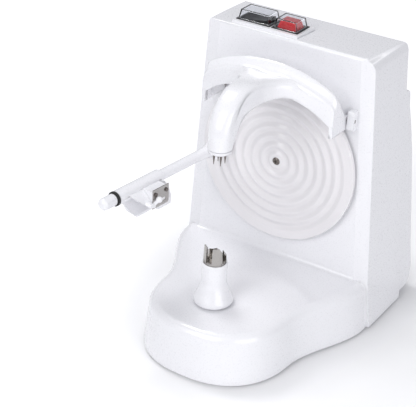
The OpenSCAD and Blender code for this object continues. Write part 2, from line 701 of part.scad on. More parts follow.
// Peel hood: a shell revolved round an axis below the bar, open below, with a slanting mouth
hood_t = 1.8;
hood_end = bar_len - 0.6;
hood_start = hood_end - hood_len;
hood_drop = hood_r - 1.5;
hood_spread = 1.06;
edge_steps = 16;
sleeve_d = bar_d + 2.8;
sleeve_lead = 1.5;
blade_mid = hood_start + 13;
blade_low = 2.5 - blade_h;
pad_to = blade_mid + blade_len / 2;
pad_v = hood_r + 0.6;
pad_top = 0.8;
pad_low = blade_low + 2.2;

// Angles of the hood's two edges round its axis at a distance u along the bar, and its radius there
mouth_run = hood_end - pad_to;
function near_edge(u) = let (t = max(0, (u - pad_to) / (mouth_run - 4)))
    min(80, -16 + 28 * smooth(2 * (u - blade_mid) / blade_len) + 78 * pow(t, 1.9));
function far_edge(u) = let (t = (u - pad_to) / mouth_run)
    max(100, 262 - 112 * smooth(0.25 + 5.5 * t) - 60 * smooth((t - 0.13) / 0.7));
function hood_at(u) = hood_r * mix(1, hood_spread, max(0, (u - pad_to - 1) / (hood_end - pad_to - 1)));
function edge_line(near) = [for (i = [0:edge_steps]) let (u = mix(hood_start, hood_end, i / edge_steps),
    a = near ? near_edge(u) : far_edge(u)) [u, hood_at(u) * sin(a) - hood_drop]];
module hood_revolve(inset, spare) translate([0, 0, -hood_drop]) rotate([90, 0, 0]) rotate([0, 0, -50])
    rotate_extrude($fn = 96) polygon([[0, hood_start - spare], [hood_r - inset, hood_start - spare],
        [hood_r - inset, pad_to + 1], [hood_at(hood_end) - inset, hood_end - 1 + spare],
            [0, hood_end - 1 + spare]]);

// Removes what lies below an edge line on one side of the hood's axis
module mouth_cut(near) let (line = edge_line(near)) rotate([90, 0, 90])
    translate([0, 0, near ? 0 : -2 * hood_r]) linear_extrude(height = 2 * hood_r)
        polygon(concat([for (p = line) [-p[0], p[1]]],
            [[-hood_end - 5, line[edge_steps][1]], [-hood_end - 5, -3 * hood_r], [5 - hood_start, -3 * hood_r],
             [5 - hood_start, line[0][1]]]));
module peel_hood() color([0.93, 0.93, 0.95]) placed() arm_frame() difference() {
    union() {
        difference() {
            union() {
                hood_revolve(0, 0);
                translate([sleeve_d / 2 - 2, -pad_to, pad_low])
                    cube([pad_v - sleeve_d / 2 + 2, blade_len, pad_top - pad_low]);
                translate([pad_v - 4, pin_foot[1], pin_foot[2]]) rotate([0, 90, 0])
                    cylinder(d = pin_boss_d, h = pin_out + 5.8);
            }
            hood_revolve(hood_t, 1);
            mouth_cut(true);
            mouth_cut(false);
            translate([-2, -hood_end - 5, -3 * hood_r]) cube([3, hood_len + 10, 3 * hood_r - hood_drop]);
        }
        translate([0, sleeve_lead - hood_start, 0]) rotate([90, 0, 0])
            cylinder(d = sleeve_d, h = hood_len + sleeve_lead);
    }
    translate([0, sleeve_lead + 1 - hood_start, 0]) rotate([90, 0, 0])
        cylinder(r = bar_d / 2 + run_fit, h = hood_len + sleeve_lead + 2);
    for (s = [-1, 1]) translate([pad_v - 4, -blade_mid + s * blade_len / 3, -1.6]) rotate([0, 90, 0])
        cylinder(d = 1.6, h = 10);
    translate(pin_foot) rotate(pin_turn) translate([0, 0, -1.4]) cylinder(d = pin_d, h = 9);
}
pin_d = 2.6;
pin_boss_d = 6;
pin_out = blade_t + 1.2;
pin_foot = [pad_v + pin_out, -pad_to - pin_boss_d / 2 - set_gap, 3 - 0.75 * blade_h];
pin_turn = [-58, 22, 0];
module blade() color("silver") placed() arm_frame() difference() {
    translate([pad_v, -blade_mid + blade_len / 2, 0]) rotate([90, 0, 0]) linear_extrude(height = blade_len)
        polygon([[0, 2.5], [blade_t, 2.5], [blade_t, 4 - blade_h], [0.1, 2.5 - blade_h], [0, 2.5 - blade_h]]);
    translate([pad_v - 1, -blade_mid - blade_len / 2 + 3, 6 - blade_h]) cube([3, blade_len - 6, 2.6]);
    for (s = [-1, 1]) translate([pad_v - 1, -blade_mid + s * blade_len / 3, -1.6]) rotate([0, 90, 0])
        cylinder(d = 2, h = 3);
}
module blade_screws() color([0.25, 0.25, 0.25]) placed() arm_frame() for (s = [-1, 1])
    translate([pad_v + blade_t, -blade_mid + s * blade_len / 3, -1.6]) rotate([0, 90, 0]) {
        cylinder(d = 3, h = 0.8);
        translate([0, 0, -blade_t - 3]) cylinder(d = 1.5, h = blade_t + 3.1);
    }
module depth_pin() color([0.96, 0.96, 0.97]) placed() arm_frame() translate(pin_foot) rotate(pin_turn) {
    translate([0, 0, -1.3]) cylinder(d = pin_d - 0.06, h = 9.3);
    translate([0, 0, 8]) sphere(d = pin_d + 2.2);
}
module knob_washer() color([0.05, 0.05, 0.05]) placed() arm_frame() translate([0, -bar_len, 0])
    rotate([90, 0, 0]) difference() {
        cylinder(d = bar_d + 3, h = washer_t);
        translate([0, 0, -1]) cylinder(d = 5.1, h = 4);
    }
module arm_knob() color([0.95, 0.95, 0.96]) placed() arm_frame() translate([0, -knob_start, 0])
    rotate([90, 0, 0]) difference() {
        rotate_extrude() polygon(concat([[0, 0], [knob_d / 2 - 0.8, 0], [knob_d / 2, 1]],
            [for (a = [0:15:90]) [knob_d / 2 - 3 + 3 * cos(a), knob_len - 3 + 3 * sin(a)]], [[0, knob_len]]));
        translate([0, 0, -1]) cylinder(d = 5.1, h = 12);
    }

// Hinge lugs that stand on the tower's wall beside the arm's two ends, with rounded front corners
lug_front = hinge_pin_d / 2 + 1.8 - hinge_back;
lug_round = 2.5;
module tower_solid() difference() {
    tower_front_form(0, wall_set, tower_back);
    strip_cut();
    mirror([1, 0, 0]) strip_cut();
}
module hinge_lug(s) placed() difference() {
    translate([s * lug_x - lug_w / 2, 0, hinge_z]) rotate([90, 0, 90]) linear_extrude(height = lug_w)
        union() {
            for (z = [-1, 1]) translate([lug_round - lug_front, z * (lug_h / 2 - lug_round)])
                circle(r = lug_round);
            translate([-lug_front, lug_round - lug_h / 2])
                square([lug_front + wall_set, lug_h - 2 * lug_round]);
            translate([lug_round - lug_front, -lug_h / 2])
                square([lug_front - lug_round + wall_set + strip_d, lug_h]);
        }
    tower_solid();
    translate([s * lug_x - lug_w, hinge_back, hinge_z]) rotate([0, 90, 0])
        cylinder(d = hinge_pin_d, h = 2 * lug_w);
    for (p = lug_spots) translate([p[0], 1 - lug_front, p[1]]) rotate([-90, 0, 0])
        cylinder(d = screw_d, h = 20);
}
module hinge_lug_left() color([0.95, 0.95, 0.96]) hinge_lug(-1);
module hinge_lug_right() color([0.95, 0.95, 0.96]) hinge_lug(1);
module hinge_pins() color("silver") placed() for (s = [-1, 1])
    translate([s * (end_x - ear_set - ear_w - 0.5), hinge_back, hinge_z]) rotate([0, s * 90, 0])
        cylinder(d = hinge_pin_d - 0.04, h = ear_w + ear_set + lug_gap + lug_w);
module lug_screws() color("silver") placed() for (p = lug_spots)
    translate([p[0], wall_back + 1.7, p[1]]) rotate([90, 0, 0]) screw(wall_back + lug_front);

// Outline of the upper arm's arch at x: underside, top edge, front edge, and its rear at the height z
end_x = arm_w / 2;
band_x = end_x - end_wall;
end_top = 72.5;
end_r = 5;
function share(x, to, power) = pow(abs(x) / to, power);
function arch_low(x) = abs(x) > band_x ? end_under : mix(arch_under, band_under, share(x, band_x, 3));
function arch_corner(x) = let (o = abs(x) - end_x + end_r)
    o > 0 ? end_r - sqrt(max(0, end_r * end_r - o * o)) : 0;
function arch_high(x) = mix(arch_top, end_top, share(x, end_x, 2.2)) - arch_corner(x);
function arch_edge(x) = arch_high(x) - mix(7.5, 5.6, smooth(abs(x) / 25));
function arch_front(x) = mix(-24.5, -21, share(x, end_x, 2));
function arch_rear(z) = -1 - 0.1 * (min(z, 52) - end_under) - 0.6 * max(0, min(z, 70.5) - 52);

// The nose runs straight forward from the arch, bends down and ends over the fruit. Along it, u goes
// from 0 to 1 in the straight run, to 2 in the bend and to nose_tip in the last drop
nose_drop = 5;
nose_tip = 2.2;
nose_root = 10.2;
nose_root_h = 9.6;
nose_side = 21.8;
nose_z = nose_end + nose_drop + nose_bend;
nose_run = fruit_axis - nose_bend + arch_front(0);
nose_reach = nose_root + nose_side;
function nose_w(u) = u < 1 ? nose_root + nose_side * (1 - sqrt(1 - pow(1 - u, 2)))
    : mix(nose_root, nose_d / 2, min(1, u - 1));
function nose_n(u) = mix(4, 2, smooth(u - 1));
function nose_share(u, a) = let (q = a / nose_w(u), n = nose_n(u))
    q < 1 ? max(0.02, pow(1 - pow(q, n), 1 / n)) : 0.02;

// How far the nose reaches at a distance a from the middle, and its points there, where v is 1 on
// top and -1 below
function nose_to(a) = a < nose_d / 2 ? nose_tip
    : a < nose_root ? 1 + (nose_root - a) / (nose_root - nose_d / 2)
    : 1 - sqrt(1 - pow(1 - (a - nose_root) / nose_side, 2));
nose_steps = 10;
function nose_u(t, a) = nose_to(a) * mix(pow(t, 0.7), 1 - pow(1 - t, 3), smooth((a - nose_d / 2) / 3));
function nose_point(u, v, low, high) = let (k = smooth(u), front = arch_front(0),
    reach = nose_bend + v * mix(nose_root_h, nose_d / 2, min(1, u - 1)))
    u < 1 ? [front - nose_run * u,
        mix((low + high) / 2, nose_z, k) + v * mix((high - low) / 2, nose_root_h, k)]
    : u < 2 ? [front - nose_run - reach * sin(90 * (u - 1)), nose_z - nose_bend + reach * cos(90 * (u - 1))]
    : [-fruit_axis - v * nose_d / 2, mix(nose_z - nose_bend, nose_end, (u - 2) / (nose_tip - 2))];

// Points down the arch's front band, which is slightly crowned
band_crown = 0.3;
function band_point(front, high, low, j) = let (t = j / (2 * nose_steps + 1))
    [front - band_crown * sin(180 * t), mix(high, low, t)];

// Closed outline of the arm at x: up the back, down the sloping top, round the nose, and back inside the wall
edge_r = 3;
function arm_ring(x) = let (a = abs(x), d = arm_wall, low = arch_low(x), high = arch_high(x),
    front = arch_front(x), edge = arch_edge(x), back = arch_rear(high), mid = (low + high) / 2,
    base = arch_rear(low), nosed = a < nose_reach - 0.1,
    drop = edge_r * (1 - (nosed ? smooth(nose_run * nose_to(a) / 4) : 0)),
    outer = concat([[base, low], [arch_rear(mid), mid], [back, high - edge_r]],
        [for (g = [30:30:90]) [back - edge_r + edge_r * cos(g), high - edge_r + edge_r * sin(g)]],
        [for (t = [0.25, 0.5, 0.75]) [mix(back - edge_r, front + 2.5, t), mix(high, edge, pow(t, 1.25))]],
        [for (g = [100:20:180]) [front + edge_r + edge_r * cos(g), edge - drop * (1 - sin(g))]],
        [for (j = [1:2 * nose_steps]) nosed ? nose_ring_point(j, a, low, edge, edge - drop)
            : band_point(front, edge - drop, low, j)],
        [[front, low]]),
    wide = back - front - 2 * d,
    inner = a < band_x ? [[front + d, low], [front + d, mix(low, edge, 0.5)], [front + d, edge - 2 * d],
        [front + d + wide / 4, edge - 1.4 * d], [(front + back) / 2, (edge + high) / 2 - 1.5 * d],
        [back - d - wide / 4, high - 1.6 * d], [back - d, high - 2.2 * d], [arch_rear(mid) - d, mid],
        [base - d, low]]
        : [for (k = [0:8]) [mix(front + d, base - d, k / 8), low + band_crown * sin(20 + 17.5 * k)]])
    [for (p = concat(outer, inner)) [x, p[0], disc_z + p[1]]];
function nose_ring_point(j, a, low, edge, under) = let (k = j > nose_steps ? 2 * nose_steps + 1 - j : j,
    side = j > nose_steps ? -1 : 1, u = nose_u(k / nose_steps, a),
    p = nose_point(u, side * nose_share(u, a), low, edge))
    [p[0], side > 0 && u < 1 ? min(p[1], under + nose_run * u) : p[1]];
half_stations = concat([for (t = [0.4, 0.7, 0.9, 0.985]) t * nose_d / 2], [(nose_d / 2 + nose_root) / 2],
    [for (t = [0.02, 0.1, 0.22, 0.38, 0.58, 0.8]) nose_root + nose_side * t],
    [for (t = [0.2, 0.45, 0.68, 0.85]) mix(nose_reach, band_x, t)],
    [for (x = [band_x - 0.05, band_x + 0.05, end_x - 0.9, end_x - 0.25, end_x]) x]);
stations = concat([for (k = [len(half_stations) - 1:-1:0]) -half_stations[k]], [0], half_stations);

bush_hold = 12;
ear_d = hinge_pin_d + 3.4;
ear_w = 5;
ear_set = 0.6;
ear_reach = 13;
bush_deep = 14;
axle_d = 6;
module upper_arm() color([0.95, 0.95, 0.97]) placed() difference() {
    union() {
        skin([for (x = stations) arm_ring(x)]);
        for (s = [-1, 1]) translate([s * (end_x - ear_set - ear_w / 2) - ear_w / 2, 0, hinge_z]) {
            translate([0, hinge_back, 0]) rotate([0, 90, 0]) cylinder(d = ear_d, h = ear_w);
            translate([0, -ear_reach, -ear_d / 2]) cube([ear_w, ear_reach + hinge_back, ear_d]);
        }
    }
    for (s = [-1, 1]) translate([s * (end_x - ear_w / 2) - ear_w / 2 - 2, hinge_back, hinge_z])
        rotate([0, 90, 0]) cylinder(r = hinge_pin_d / 2 + run_fit, h = ear_w + 4);
    translate([0, -fruit_axis, disc_z + nose_end - 1])
        cylinder(d = bush_hold, h = bush_deep + pass_gap + 3.2);
}
module tip_bush() color([0.2, 0.2, 0.22]) placed()
    translate([0, -fruit_axis, disc_z + nose_end]) difference() {
    cylinder(d = bush_hold - 0.1, h = bush_deep);
    translate([0, 0, -1]) cylinder(r = axle_d / 2 + run_fit, h = bush_deep + 2);
}
collar_h = 3;
collar_z = nose_end - pass_gap - collar_h;
module tip_axle() color("silver") placed() translate([0, -fruit_axis, disc_z + collar_z + 1]) {
    cylinder(d = axle_d, h = nose_end + bush_deep + pass_gap + 1.2 - collar_z - 1);
    translate([0, 0, nose_end + bush_deep + pass_gap - collar_z - 1]) cylinder(d = axle_d + 3, h = 1.6);
}
module tip_collar() color([0.95, 0.95, 0.97]) placed()
    translate([0, -fruit_axis, disc_z + collar_z]) difference() {
    rotate_extrude() polygon([[0, 0], [nose_d / 2 - 1.6, 0], [nose_d / 2 - 0.4, 0.8],
        [nose_d / 2, collar_h], [0, collar_h]]);
    translate([0, 0, 1]) cylinder(d = axle_d + 0.1, h = collar_h);
    for (a = [45:90:315]) rotate([0, 0, a]) translate([4, 0, -1]) cylinder(d = 1.5, h = 3);
}
module tip_spikes() color([0.3, 0.28, 0.26]) placed() translate([0, -fruit_axis, disc_z + collar_z])
    union() {
        translate([0, 0, -1]) cylinder(d = 11, h = 1);
        for (a = [45:90:315]) rotate([0, 0, a]) translate([4, 0, 0]) {
            cylinder(d = 1.4, h = 1.8);
            translate([0, 0, -9]) cylinder(d1 = 0.4, d2 = 2.2, h = 8.5);
        }
    }

// Spindle: a flared foot over the deck that carries the steel fruit cup
foot_z = deck_h + flare_gap;
neck_z = deck_h + neck_top;
module spindle_foot() color([0.94, 0.94, 0.95]) placed() translate([0, -fruit_axis, 0]) difference() {
    rotate_extrude() polygon(concat([[0, foot_z], [flare_d / 2 - 0.8, foot_z], [flare_d / 2, foot_z + 1],
        [flare_d / 2, foot_z + 2]],
        [for (i = [1:10]) let (t = i / 10) [mix(flare_d, neck_d, smooth(t)) / 2,
            mix(foot_z + 2, neck_z - 9, t)]],
        [[neck_d / 2, neck_z - 0.8], [neck_d / 2 - 0.8, neck_z], [0, neck_z]]));
    translate([0, 0, foot_z - 1]) cylinder(r = shaft_d / 2 + run_fit, h = neck_z - foot_z - 3);
    translate([0, 0, foot_z - 1]) cylinder(d = screw_d + 0.4, h = 60);
}
cup_wall = 1.2;
module fruit_cup() color([0.7, 0.68, 0.66]) placed() translate([0, -fruit_axis, neck_z]) difference() {
    rotate_extrude() polygon([[0, 0], [neck_d / 2, 0], [neck_d / 2, 2], [cup_d / 2 + 0.5, 8],
        [cup_d / 2, cup_h],
        [cup_d / 2 - cup_wall, cup_h], [cup_d / 2 - cup_wall, 8], [cup_d / 2 - cup_wall - 0.4, 2], [0, 2]]);
    for (a = [0, 90]) rotate([0, 0, a]) translate([-cup_slot / 2, -neck_d, 6])
        cube([cup_slot, 2 * neck_d, cup_h]);
    for (a = [0, 90]) rotate([0, 0, a + 45]) translate([0, neck_d, 0]) rotate([90, 0, 0])
        linear_extrude(height = 2 * neck_d)
            polygon([[cup_slot, cup_h + 1], [0.5, cup_h + 1], [cup_d / 2, cup_h - 9],
            [cup_d, cup_h - 9], [cup_d, cup_h + 1]]);
    translate([0, 0, -1]) cylinder(d = screw_d + 0.4, h = 4);
}
module spindle_shaft() color("silver") placed() translate([0, -fruit_axis, 0]) difference() {
    translate([0, 0, step_floor + set_gap]) cylinder(d = shaft_d, h = neck_z - 4 - step_floor - set_gap);
    translate([0, 0, neck_z - 14]) cylinder(d = screw_d, h = 20);
}
module spindle_screw() color("silver") placed() translate([0, -fruit_axis, neck_z + 2 + 1.7])
    mirror([0, 0, 1]) screw(14);

// Belt drive under the deck: a pulley on the spindle's shaft and one on the gearbox's shaft
belt_z = step_top + 4.5;
rim_d = pulley_d + 2 * belt_t + 4;
module pulley(bore) difference() {
    rotate_extrude() polygon([[0, -2], [rim_d / 2, -2], [rim_d / 2, -0.6], [pulley_d / 2, 0],
        [pulley_d / 2, belt_w + 0.8], [rim_d / 2, belt_w + 1.4], [rim_d / 2, belt_w + 2.8],
            [0, belt_w + 2.8]]);
    translate([0, 0, -3]) cylinder(d = bore + 0.1, h = belt_w + 8);
}
module spindle_pulley() color([0.85, 0.85, 0.83]) placed() translate([0, -fruit_axis, belt_z])
    pulley(shaft_d);
module drive_pulley() color([0.85, 0.85, 0.83]) placed() translate([0, gearbox_mid, belt_z]) pulley(drive_d);
module drive_belt() color([0.1, 0.1, 0.1]) placed() translate([0, 0, belt_z + 0.4])
    linear_extrude(height = belt_w)
    difference() {
        belt_loop(pulley_d / 2 + set_gap + belt_t);
        belt_loop(pulley_d / 2 + set_gap);
    }
module belt_loop(r) {
    translate([0, -fruit_axis]) circle(r = r);
    translate([0, gearbox_mid]) circle(r = r);
    translate([-r, -fruit_axis]) square([2 * r, fruit_axis + gearbox_mid]);
}
module drive_shaft() color("silver") placed() translate([0, gearbox_mid, shell_z + 0.5 + set_gap])
    cylinder(d = drive_d, h = gearbox_low + 12 - shell_z - 0.5 - set_gap);
module drive_bearing() color([0.2, 0.2, 0.22]) placed() translate([0, gearbox_mid, shell_z]) difference() {
    cylinder(d = 14, h = 5);
    translate([0, 0, 0.5]) cylinder(r = drive_d / 2 + run_fit, h = 6);
}

gearbox_low = disc_z - gearbox_h + 20;
ear_t = 4;
gearbox_spots = [for (s = [-1, 1]) for (z = [disc_z + 12, gearbox_low + 8]) [s * (gearbox_w / 2 - 5), z]];
module gearbox() color([0.2, 0.2, 0.22]) placed() difference() {
    union() {
        translate([10 - gearbox_w / 2, gearbox_y, gearbox_low]) cube([gearbox_w - 20, gearbox_d, gearbox_h]);
        for (p = gearbox_spots) translate([p[0], gearbox_y, p[1]]) rotate([-90, 0, 0])
            cylinder(d = 10, h = ear_t);
        for (z = [disc_z + 7, gearbox_low + 3]) translate([5 - gearbox_w / 2, gearbox_y, z])
            cube([gearbox_w - 10, ear_t, 10]);
    }
    translate([0, gearbox_y - 1, disc_z]) rotate([-90, 0, 0]) cylinder(r = shaft_d / 2 + run_fit, h = 24);
    translate([0, gearbox_mid, gearbox_low - 1]) cylinder(r = drive_d / 2 + run_fit, h = 14);
    for (p = gearbox_spots) translate([p[0], gearbox_y - 1, p[1]]) rotate([-90, 0, 0])
        cylinder(d = screw_d + 0.4, h = ear_t + 2);
}
module gearbox_screws() color("silver") placed() for (p = gearbox_spots)
    translate([p[0], gearbox_y + ear_t + 1.7, p[1]]) rotate([90, 0, 0]) screw(12);
motor_x = start_x + start_w / 2 - flange_w + motor_d / 2 + 1;
motor_low = gearbox_low + gearbox_h;
module motor() color([0.6, 0.6, 0.62]) placed() translate([motor_x, gearbox_mid, motor_low])
    rotate_extrude() polygon([[0, 0], [motor_d / 2 - 1, 0], [motor_d / 2, 1], [motor_d / 2, motor_len - 1],
        [motor_d / 2 - 1, motor_len], [0, motor_len]]);
module motor_cap() color([0.1, 0.1, 0.1]) placed() translate([motor_x, gearbox_mid, motor_low + motor_len]) {
    cylinder(d = motor_d - 6, h = 2);
    for (s = [-1, 1]) translate([s * 7 - 1.5, -0.4, 2 - eps]) cube([3, 0.8, 4]);
}
board_y = wall_back + 4;
board_post_d = 6;
board_w = 44;
board_h = 32;
board_t = 1.6;
board_left = -60;
board_low = motor_low + 14;
board_spots = [for (z = [4, board_h - 4]) for (x = [4, board_w - 4]) [board_left + x, board_low + z]];
module control_board() color([0.1, 0.4, 0.2]) placed() {
    translate([board_left, board_y, board_low]) cube([board_w, board_t, board_h]);
    for (p = [[10, 14, 8], [26, 10, 6], [34, 8, 10]])
        translate([board_left + p[0], board_y + board_t - eps, board_low + board_h / 4]) cube([p[2], p[2], p[1]]);
}

housing();
bottom_cover();
rear_cover();
rubber_feet();
bottom_screws();
cover_screws();
switch_bezel();
power_switch_body();
power_rocker();
power_switch_cover();
start_button_body();
start_button();
start_button_cover();
disc();
disc_screw();
disc_shaft();
disc_bush();
blade_bracket();
blade_hinge_pin();
blade_arm();
peel_hood();
blade();
blade_screws();
depth_pin();
knob_washer();
arm_knob();
hinge_lug_left();
hinge_lug_right();
hinge_pins();
lug_screws();
upper_arm();
tip_bush();
tip_axle();
tip_collar();
tip_spikes();
spindle_foot();
fruit_cup();
spindle_shaft();
spindle_screw();
spindle_bush();
spindle_pulley();
drive_belt();
drive_pulley();
drive_shaft();
drive_bearing();
gearbox();
gearbox_screws();
motor();
motor_cap();
control_board();
power_inlet();
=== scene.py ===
import bpy
import bmesh
import json
from math import sin, cos, pi, radians, sqrt
from mathutils import Matrix, Vector


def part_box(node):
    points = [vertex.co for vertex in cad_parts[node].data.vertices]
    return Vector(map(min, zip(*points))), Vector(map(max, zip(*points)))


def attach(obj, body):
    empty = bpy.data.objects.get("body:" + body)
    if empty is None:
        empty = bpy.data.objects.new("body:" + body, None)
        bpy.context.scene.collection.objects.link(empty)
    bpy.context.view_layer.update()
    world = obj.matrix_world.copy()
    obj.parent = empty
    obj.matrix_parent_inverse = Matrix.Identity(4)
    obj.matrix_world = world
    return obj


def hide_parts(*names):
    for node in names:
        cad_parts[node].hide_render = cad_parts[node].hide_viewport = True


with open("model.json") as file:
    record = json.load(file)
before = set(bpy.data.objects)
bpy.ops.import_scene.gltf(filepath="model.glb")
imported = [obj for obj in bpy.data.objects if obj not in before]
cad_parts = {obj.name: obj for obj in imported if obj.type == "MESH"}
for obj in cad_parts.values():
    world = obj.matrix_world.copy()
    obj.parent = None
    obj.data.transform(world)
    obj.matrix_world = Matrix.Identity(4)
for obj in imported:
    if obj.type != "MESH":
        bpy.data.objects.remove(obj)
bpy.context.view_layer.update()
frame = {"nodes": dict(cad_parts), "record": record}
nodes = frame["nodes"]
MM = 0.001

# The photographer's view: a long lens, from the machine's right and a little above it. It looks
# at a point in front of the disc and below its middle, and the lens is told in picture pixels.
disc_low, disc_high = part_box("disc")
face_y = disc_low[1]
disc_z = (disc_low[2] + disc_high[2]) / 2 / MM
aim = Vector((-34 * MM, face_y - 40 * MM, (disc_z - 30) * MM))
view_azimuth = radians(31.9)
view_height = radians(28.9)
view_roll = radians(2.4)
view_distance = 0.982
film_width = 36
picture_pixels = 416
lens_pixels = 1300
back = Vector((sin(view_azimuth) * cos(view_height), -cos(view_azimuth) * cos(view_height),
               sin(view_height)))
level_right = Vector((cos(view_azimuth), sin(view_azimuth), 0))
level_up = back.cross(level_right)
right = cos(view_roll) * level_right + sin(view_roll) * level_up
up = cos(view_roll) * level_up - sin(view_roll) * level_right
camera_data = bpy.data.cameras.new("camera")
camera_data.sensor_width = film_width
camera_data.lens = lens_pixels * film_width / picture_pixels
camera = bpy.data.objects.new("camera", camera_data)
camera.matrix_world = (Matrix.Translation(aim + back * view_distance)
                       @ Matrix((right, up, back)).transposed().to_4x4())
bpy.context.scene.collection.objects.link(camera)
bpy.context.scene.camera = camera
bpy.context.scene.view_settings.view_transform = "Standard"

# The white surround: a soft, slightly cool light from all round. The camera sees it as white
# paper, and a small share of that white shows in glossy faces too.
mirror_share = 0.12


def worked_out(tree, how, first, second):
    step = tree.nodes.new("ShaderNodeMath")
    step.operation = how
    for socket, given in zip(step.inputs, (first, second)):
        if isinstance(given, float):
            socket.default_value = given
        else:
            tree.links.new(given, socket)
    return step.outputs[0]


world = bpy.data.worlds.new("surround")
bpy.context.scene.world = world
world.use_nodes = True
surround_tree = world.node_tree
surround = surround_tree.nodes["Background"]
surround.inputs["Color"].default_value = (0.93, 0.94, 1.0, 1)
surround.inputs["Strength"].default_value = 0.4
paper = surround_tree.nodes.new("ShaderNodeBackground")
paper.inputs["Color"].default_value = (1, 1, 1, 1)
paper.inputs["Strength"].default_value = 1.0
seen = surround_tree.nodes.new("ShaderNodeLightPath")
choose = surround_tree.nodes.new("ShaderNodeMixShader")
in_gloss = worked_out(surround_tree, "MULTIPLY", seen.outputs["Is Glossy Ray"], mirror_share)
share = worked_out(surround_tree, "MAXIMUM", seen.outputs["Is Camera Ray"], in_gloss)
surround_tree.links.new(share, choose.inputs[0])
surround_tree.links.new(surround.outputs[0], choose.inputs[1])
surround_tree.links.new(paper.outputs[0], choose.inputs[2])
surround_tree.links.new(choose.outputs[0], surround_tree.nodes["World Output"].inputs["Surface"])


# The soft boxes: the key stands in front and a little to the left, so the machine's right side
# falls off to grey. The fill opens that side, and a small high box lights the top and edges.
def soft_box(name, place, side, watts):
    lamp = bpy.data.lights.new(name, "AREA")
    lamp.shape = "RECTANGLE"
    lamp.size = side
    lamp.size_y = side
    lamp.energy = watts
    stand = bpy.data.objects.new(name, lamp)
    stand.location = place
    stand.rotation_euler = (aim - Vector(place)).to_track_quat("-Z", "Y").to_euler()
    bpy.context.scene.collection.objects.link(stand)


soft_box("key", (-0.2, -1.3, 1.0), 1.0, 10.5)
soft_box("fill", (1.3, -0.6, 0.6), 1.1, 8.9)
soft_box("high", (-0.65, 0.15, 1.3), 0.45, 6.6)

# The floor: a sweep of pale paper. The camera sees it lifted to an even white, against the slope
# of the lamps' light over it. Round the base that lift is darkened by occlusion, a painted shadow
# pooled on the paper's colour. From half a metre out to a metre it runs on into plain white.
slope_of_light = (-0.11, 0.292, 0)
lift_in_middle = 0.195
# The painted shadow: how far round the base the occlusion darkens the lift, and how steeply
painted_shadow_reach = 0.05
painted_shadow_depth = 4.0
white_from, white_by = 0.5, 1.0
bpy.ops.object.select_all(action="DESELECT")
bpy.ops.mesh.primitive_plane_add(size=6, location=(0, 0, 0))
floor = bpy.context.object
floor.name = "studio_floor"
floor_paper = bpy.data.materials.new("pale paper")
floor_paper.use_nodes = True
floor_tree = floor_paper.node_tree
matt = floor_tree.nodes["Principled BSDF"]
matt.inputs["Base Color"].default_value = (0.9, 0.9, 0.91, 1)
matt.inputs["Roughness"].default_value = 0.6
floor_place = floor_tree.nodes.new("ShaderNodeTexCoord")
falloff = floor_tree.nodes.new("ShaderNodeVectorMath")
falloff.operation = "DOT_PRODUCT"
falloff.inputs[1].default_value = slope_of_light
floor_tree.links.new(floor_place.outputs["Object"], falloff.inputs[0])
near = floor_tree.nodes.new("ShaderNodeAmbientOcclusion")
near.inputs["Distance"].default_value = painted_shadow_reach
away = floor_tree.nodes.new("ShaderNodeVectorMath")
away.operation = "LENGTH"
floor_tree.links.new(floor_place.outputs["Object"], away.inputs[0])
horizon = floor_tree.nodes.new("ShaderNodeMapRange")
horizon.inputs["From Min"].default_value = white_from
horizon.inputs["From Max"].default_value = white_by
floor_tree.links.new(away.outputs["Value"], horizon.inputs["Value"])
evened = worked_out(floor_tree, "ADD", falloff.outputs["Value"], lift_in_middle)
# Painted shadow: the lift is darkened near the base by occlusion raised to a power
painted_shadow = worked_out(floor_tree, "POWER", near.outputs["AO"], painted_shadow_depth)
shaded = worked_out(floor_tree, "MULTIPLY", painted_shadow, evened)
lifted = worked_out(floor_tree, "MAXIMUM", horizon.outputs["Result"], shaded)
lift = floor_tree.nodes.new("ShaderNodeEmission")
floor_tree.links.new(lifted, lift.inputs["Color"])
both = floor_tree.nodes.new("ShaderNodeAddShader")
floor_tree.links.new(matt.outputs[0], both.inputs[0])
floor_tree.links.new(lift.outputs[0], both.inputs[1])
floor_seen = floor_tree.nodes.new("ShaderNodeLightPath")
floor_share = worked_out(floor_tree, "MAXIMUM", floor_seen.outputs["Is Camera Ray"],
                         floor_seen.outputs["Is Transmission Ray"])
floor_choose = floor_tree.nodes.new("ShaderNodeMixShader")
floor_tree.links.new(floor_share, floor_choose.inputs[0])
floor_tree.links.new(matt.outputs[0], floor_choose.inputs[1])
floor_tree.links.new(both.outputs[0], floor_choose.inputs[2])
floor_tree.links.new(floor_choose.outputs[0], floor_tree.nodes["Material Output"].inputs["Surface"])
floor.data.materials.append(floor_paper)

# The housing. One injection-moulded shell of glossy white plastic: a tapered tower with a flat
# strip down each front edge, and a low base whose rounded tongue carries the spindle. It is
# screwed to the bottom cover from below, and everything else is fixed to it.
shell_white = (0.845, 0.845, 0.872, 1)
shell_shade = (0.838, 0.838, 0.866, 1)
shell_edge = 0.7
deck_blend = (12, 60)
top_z, deck_z = 220, 41
top_half, deck_half = 70, 81.5
strip_w = 11
strip_back = 8
crease_slack = 0.6


def only(piece):
    bpy.ops.object.select_all(action="DESELECT")
    piece.select_set(True)
    bpy.context.view_layer.objects.active = piece


def applied(piece, kind, **settings):
    only(piece)
    step = piece.modifiers.new(kind, kind)
    for word, value in settings.items():
        setattr(step, word, value)
    bpy.ops.object.modifier_apply(modifier=step.name)


def outward(piece):
    only(piece)
    bpy.ops.object.mode_set(mode="EDIT")
    bpy.ops.mesh.select_all(action="SELECT")
    bpy.ops.mesh.remove_doubles(threshold=0.01 * MM)
    bpy.ops.mesh.normals_make_consistent(inside=False)
    bpy.ops.object.mode_set(mode="OBJECT")


